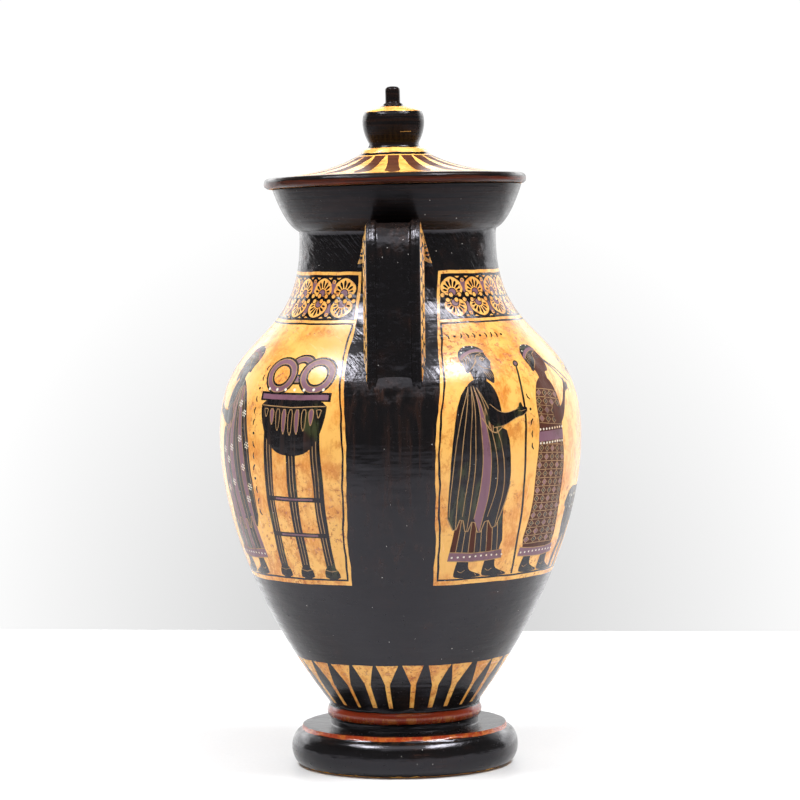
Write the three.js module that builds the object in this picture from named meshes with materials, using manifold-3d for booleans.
// A lidded belly amphora in painted terracotta: the fired vessel, with its foot and two flanged handles, and a loose lid.
// Sizes are in millimetres and +Z is up. The origin is on the table under the middle of the foot.
// The handles stand at -Y and +Y, and the two painted panels face -X and +X.
import * as THREE from "three";
import { mergeVertices } from "three/addons/utils/BufferGeometryUtils.js";
import Module from "manifold-3d";

const wasm = await Module();
wasm.setup();

// Foot: a thick roll on the table, and a thin disc set in on top of it
const footRadius = 75.4;
const footRollHeight = 24;
const footRollBulge = 8;
const footRestWidth = 10;
const discSetIn = 7.2;
const discHeight = 2.8;

// Stem: a short waist, then a raised collar where the foot meets the body
const waistRadius = 49;
const waistHeight = 5;
const collarRadius = 51.6;
const collarHeight = 8.4;

// Body, neck and mouth
const bodyBaseRadius = 50.3;
const bodyBaseRise = 2.3;
const bodyBaseFlare = 0.75;
const lowerBodyHeight = 176.5;
const bellyRadius = 120;
const shoulderHeight = 131;
const neckRadius = 65;
const neckHeight = 5;
const mouthRadius = 82.6;
const mouthHeight = 27;
const mouthTurnRadius = 74;
const mouthTurnRise = 3.5;
const mouthRimWidth = 8.5;

// Clay thicknesses
const wall = 6.5;
const floorThickness = 11;
const floorRise = 4;
const stemWall = 15;

// How far the tangents of the body's two curves reach, from the fit to the real outline
const lowerStartReach = 50;
const lowerEndReach = 60;
const shoulderReach = 75;

// Handles: straps with a raised flange along each edge of the outer face
const handleWidth = 34.3;
const handleThickness = 13;
const handleGap = 32;
const handleSideSlope = 2.6;
const handleRootDrop = 14;
const handleArchRise = 22;
const handleBendDrop = 33;
const handleLandingRise = 38;
const flangeWidth = 5.6;
const flangeHeight = 2.2;
const flangeChamfer = 1;
const rootFlare = 5;
const rootThickening = 6;
const rootLength = 0.22;

// Lid: a low cone with a locating ring below and a bulb knob and pin above
const lidOverhang = 4.2;
const lidRimHeight = 5.8;
const lidRimEase = 1.6;
const lidConeRise = 17.6;
const lidThickness = 6.2;
const lidSeatGap = 0.3;
const lidRingDepth = 8;
const lidRingWall = 5;
const lidRingClearance = 1.5;
const knobCollarRadius = 24;
const knobCollarHeight = 6.5;
const knobWaistRadius = 16.3;
const knobRadius = 20.5;
const knobHeight = 21;
const knobFullness = 1.06;
const knobTopRise = 5;
const pinCollarRadius = 6.6;
const pinRadius = 4.9;
const pinHeight = 11.8;
const pinEase = 1.6;

// Fineness of the round forms
const roundSteps = 52;
const lowerBodySteps = 9;
const shoulderSteps = 10;
const insideSteps = 6;
const mouthSteps = 5;
const handleSteps = 16;
const footRollSteps = 8;
const footCollarSteps = 4;
const floorTurnSteps = 3;
const knobCollarSteps = 3;
const knobSteps = 6;

// Levels, from the table up
const rollTop = footRollHeight;
const discTop = rollTop + discHeight;
const waistTop = discTop + waistHeight;
const collarTop = waistTop + collarHeight;
const bodyBase = collarTop + bodyBaseRise;
const bellyLevel = bodyBase + lowerBodyHeight;
const neckBase = bellyLevel + shoulderHeight;
const neckTop = neckBase + neckHeight;
const mouthTop = neckTop + mouthHeight;
const insideFloor = bodyBase + floorRise;
const recessTop = insideFloor - floorThickness;
const lidBase = mouthTop + lidSeatGap;
const lidRimTop = lidBase + lidRimHeight;
const coneTop = lidRimTop + lidConeRise;
const knobBase = coneTop + knobCollarHeight;
const knobShoulder = knobBase + knobHeight;
const knobTop = knobShoulder + knobTopRise;
const pinTop = knobTop + pinHeight;

const at = (radius, level) => new THREE.Vector2(radius, level);

// Body outline: one curve from the base out to the belly, and an S curve from the belly in to the neck
const lowerBody = new THREE.CubicBezierCurve(
  at(bodyBaseRadius, bodyBase),
  at(bodyBaseRadius + bodyBaseFlare * lowerStartReach, bodyBase + lowerStartReach),
  at(bellyRadius, bellyLevel - lowerEndReach),
  at(bellyRadius, bellyLevel),
);
const shoulder = new THREE.CubicBezierCurve(
  at(bellyRadius, bellyLevel),
  at(bellyRadius, bellyLevel + shoulderReach),
  at(neckRadius, neckBase - shoulderReach),
  at(neckRadius, neckBase),
);
const mouth = new THREE.QuadraticBezierCurve(
  at(neckRadius, neckTop),
  at(mouthTurnRadius, neckTop + mouthTurnRise),
  at(mouthRadius, mouthTop),
);

// Points along a curve, moved inwards by inset at right angles to it
function alongCurve(curve, steps, inset = 0) {
  return Array.from({ length: steps + 1 }, (_, i) => {
    const tangent = curve.getTangent(i / steps);
    return curve.getPoint(i / steps).add(at(-tangent.y, tangent.x).multiplyScalar(inset));
  });
}

// Points on an arc of an upright ellipse, with angles in degrees from the outward direction
function arc(centre, reachOut, reachUp, from, to, steps) {
  return Array.from({ length: steps + 1 }, (_, i) => {
    const angle = THREE.MathUtils.degToRad(from + ((to - from) * i) / steps);
    return at(centre.x + reachOut * Math.cos(angle), centre.y + reachUp * Math.sin(angle));
  });
}

// Drops a point that repeats the one before it
function tidy(points) {
  return points.filter((p, i) => i === 0 || p.distanceTo(points[i - 1]) > 1e-3);
}

// A geometry with positions only becomes a solid
function solidOf(geometry) {
  const bare = new THREE.BufferGeometry();
  bare.setAttribute("position", geometry.getAttribute("position"));
  bare.setIndex(geometry.index);
  const merged = mergeVertices(bare, 1e-3);
  return new wasm.Manifold(
    new wasm.Mesh({
      numProp: 3,
      vertProperties: merged.attributes.position.array,
      triVerts: new Uint32Array(merged.index.array),
    }),
  );
}

// Turns an outline, listed from the bottom of the axis up to its top, about the Z axis
function turned(outline) {
  const geometry = new THREE.LatheGeometry(tidy(outline), roundSteps);
  return solidOf(geometry.rotateX(Math.PI / 2));
}

function meshOf(name, solid, material) {
  const made = solid.getMesh();
  const geometry = new THREE.BufferGeometry();
  geometry.setAttribute("position", new THREE.BufferAttribute(new Float32Array(made.vertProperties), 3));
  geometry.setIndex(new THREE.BufferAttribute(new Uint32Array(made.triVerts), 1));
  geometry.computeVertexNormals();
  const mesh = new THREE.Mesh(geometry, material);
  mesh.name = name;
  return mesh;
}

// The vessel's outside, without its handles
function outside() {
  const rollCentre = at(footRadius - footRollBulge, footRollHeight / 2);
  const discAngle = THREE.MathUtils.radToDeg(Math.acos((footRollBulge - discSetIn) / footRollBulge));
  const discRadius = footRadius - discSetIn;
  const collarCentre = at(waistRadius, waistTop + collarHeight / 2);
  return turned([
    at(0, 0),
    ...arc(rollCentre, footRollBulge, footRollHeight / 2, -90, discAngle, footRollSteps),
    at(discRadius, discTop),
    at(waistRadius, discTop),
    ...arc(collarCentre, collarRadius - waistRadius, collarHeight / 2, -90, 90, footCollarSteps),
    ...alongCurve(lowerBody, lowerBodySteps),
    ...alongCurve(shoulder, shoulderSteps),
    ...alongCurve(mouth, mouthSteps),
    at(0, mouthTop),
  ]);
}

// The inside of the mouth is a straight funnel from the rim down to the neck
const rimInnerRadius = mouthRadius - mouthRimWidth;
const neckInnerRadius = neckRadius - wall;
function mouthInnerRadius(level) {
  const share = (level - neckTop) / mouthHeight;
  return THREE.MathUtils.lerp(neckInnerRadius, rimInnerRadius, share);
}

// The space inside the vessel, carried on above the mouth so that it cuts the rim clean through
function inside() {
  const lower = alongCurve(lowerBody, insideSteps, wall).filter((p) => p.y > insideFloor + wall);
  const overMouth = mouthTop + mouthHeight / 2;
  const floorTurn = new THREE.QuadraticBezierCurve(
    at(waistRadius - stemWall, insideFloor),
    at(lower[0].x - wall, insideFloor),
    lower[0],
  );
  return turned([
    at(0, insideFloor),
    ...floorTurn.getPoints(floorTurnSteps),
    ...lower,
    ...alongCurve(shoulder, insideSteps, wall),
    at(neckInnerRadius, neckTop),
    at(mouthInnerRadius(overMouth), overMouth),
    at(0, overMouth),
  ]);
}

// The hollow under the foot, which leaves a ring for the vessel to stand on
function underFoot() {
  const below = -footRollHeight / 2;
  const restInner = footRadius - footRollBulge - footRestWidth;
  return turned([
    at(0, below),
    at(restInner, below),
    at(restInner, 0),
    at(waistRadius - stemWall, recessTop - wall / 2),
    at(waistRadius - stemWall - wall, recessTop),
    at(0, recessTop),
  ]);
}

// The body's radius at a level above the belly, found by halving
function shoulderRadius(level) {
  let low = 0;
  let high = 1;
  for (let i = 0; i < 40; i++) {
    const middle = (low + high) / 2;
    if (shoulder.getPoint(middle).y < level) low = middle;
    else high = middle;
  }
  return shoulder.getPoint(low).x;
}

// The handle's centre line, as distance from the axis and level: an arch off the neck, then a straight run to the body
const handleMiddle = neckRadius + handleGap + handleThickness / 2;
const handleRoot = neckTop - handleRootDrop;
const landing = bellyLevel + handleLandingRise;
const handleArch = new THREE.CubicBezierCurve(
  at(neckRadius - wall, handleRoot),
  at(neckRadius + handleGap / 2, handleRoot + handleArchRise),
  at(handleMiddle, handleRoot + handleArchRise),
  at(handleMiddle, handleRoot + handleArchRise - handleBendDrop),
);
const handleRun = new THREE.LineCurve(
  handleArch.getPoint(1),
  at(shoulderRadius(landing) - handleThickness / 2, landing - handleThickness),
);
const handlePath = new THREE.CurvePath();
handlePath.add(handleArch);
handlePath.add(handleRun);

// How much the handle spreads near its two roots, from 0 in the middle to 1 at an end
function spread(share) {
  const nearest = Math.min(share, 1 - share);
  return Math.max(0, 1 - nearest / rootLength) ** 2;
}

// The handle's section: x runs across the strap, y runs out of its outer face
function handleSection(share) {
  const outer = handleWidth / 2;
  const inner = outer + handleSideSlope + rootFlare * spread(share);
  const face = handleThickness / 2;
  const back = -face - rootThickening * spread(share);
  const bed = outer - flangeWidth;
  return [
    at(-inner, back),
    at(inner, back),
    at(outer, face),
    at(bed, face),
    at(bed - flangeChamfer, face - flangeHeight),
    at(flangeChamfer - bed, face - flangeHeight),
    at(-bed, face),
    at(-outer, face),
  ];
}

// One handle, as sections joined along the path. side is -1 for the handle at -Y and 1 for the one at +Y
function handle(side) {
  const rings = Array.from({ length: handleSteps + 1 }, (_, i) => {
    const share = i / handleSteps;
    const centre = handlePath.getPointAt(share);
    const tangent = handlePath.getTangentAt(share);
    return handleSection(share).map((p) => {
      const out = centre.x - tangent.y * p.y;
      return [-side * p.x, side * out, centre.y + tangent.x * p.y];
    });
  });
  const count = rings[0].length;
  const faces = [];
  for (let i = 0; i < handleSteps; i++)
    for (let j = 0; j < count; j++) {
      const a = i * count + j;
      const b = i * count + ((j + 1) % count);
      faces.push(a, b, a + count, b, b + count, a + count);
    }
  const last = handleSteps * count;
  for (const [a, b, c] of THREE.ShapeUtils.triangulateShape(handleSection(0), [])) {
    faces.push(a, c, b);
    faces.push(last + a, last + b, last + c);
  }
  const geometry = new THREE.BufferGeometry();
  geometry.setAttribute("position", new THREE.Float32BufferAttribute(rings.flat(2), 3));
  geometry.setIndex(faces);
  return solidOf(geometry);
}

function vessel() {
  return outside().add(handle(-1)).add(handle(1)).subtract(inside()).subtract(underFoot());
}

// The lid rests on the rim of the mouth, and its ring drops inside with clearance all round
function lid() {
  const rimRadius = mouthRadius + lidOverhang;
  const ringRadius = mouthInnerRadius(mouthTop - lidRingDepth) - lidRingClearance;
  const ringInner = ringRadius - lidRingWall;
  const coneSlope = lidConeRise / (rimRadius - lidRimEase - knobCollarRadius);
  const hollowTop = coneTop - lidThickness;
  const hollowRadius = knobCollarRadius;
  const hollowEdge = hollowTop - coneSlope * (ringInner - hollowRadius);
  const collar = new THREE.QuadraticBezierCurve(
    at(knobCollarRadius, coneTop),
    at(knobWaistRadius, coneTop),
    at(knobWaistRadius, knobBase),
  );
  const bulb = new THREE.CubicBezierCurve(
    at(knobWaistRadius, knobBase),
    at(knobRadius, knobBase + knobHeight / 3),
    at(knobRadius * knobFullness, knobShoulder - knobHeight / 4),
    at(knobRadius - pinEase, knobShoulder),
  );
  return turned([
    at(0, hollowTop),
    at(hollowRadius, hollowTop),
    at(ringInner, hollowEdge),
    at(ringInner, mouthTop - lidRingDepth),
    at(ringRadius, mouthTop - lidRingDepth),
    at(ringRadius, lidBase),
    at(rimRadius - lidRimEase, lidBase),
    at(rimRadius, lidBase + lidRimEase),
    at(rimRadius, lidRimTop - lidRimEase),
    at(rimRadius - lidRimEase, lidRimTop),
    ...collar.getPoints(knobCollarSteps),
    ...bulb.getPoints(knobSteps),
    at(pinCollarRadius, knobTop - pinEase / 2),
    at(pinCollarRadius, knobTop),
    at(pinRadius, knobTop + pinEase / 2),
    at(pinRadius, pinTop - pinEase),
    at(pinRadius - pinEase, pinTop),
    at(0, pinTop),
  ]);
}

const blackSlip = new THREE.MeshStandardMaterial({ color: 0x17130f, roughness: 0.38, metalness: 0 });
const lidSlip = new THREE.MeshStandardMaterial({ color: 0x2a1712, roughness: 0.42, metalness: 0 });

const amphora = new THREE.Group();
amphora.add(meshOf("amphora", vessel(), blackSlip));
amphora.add(meshOf("lid", lid(), lidSlip));

export default amphora;
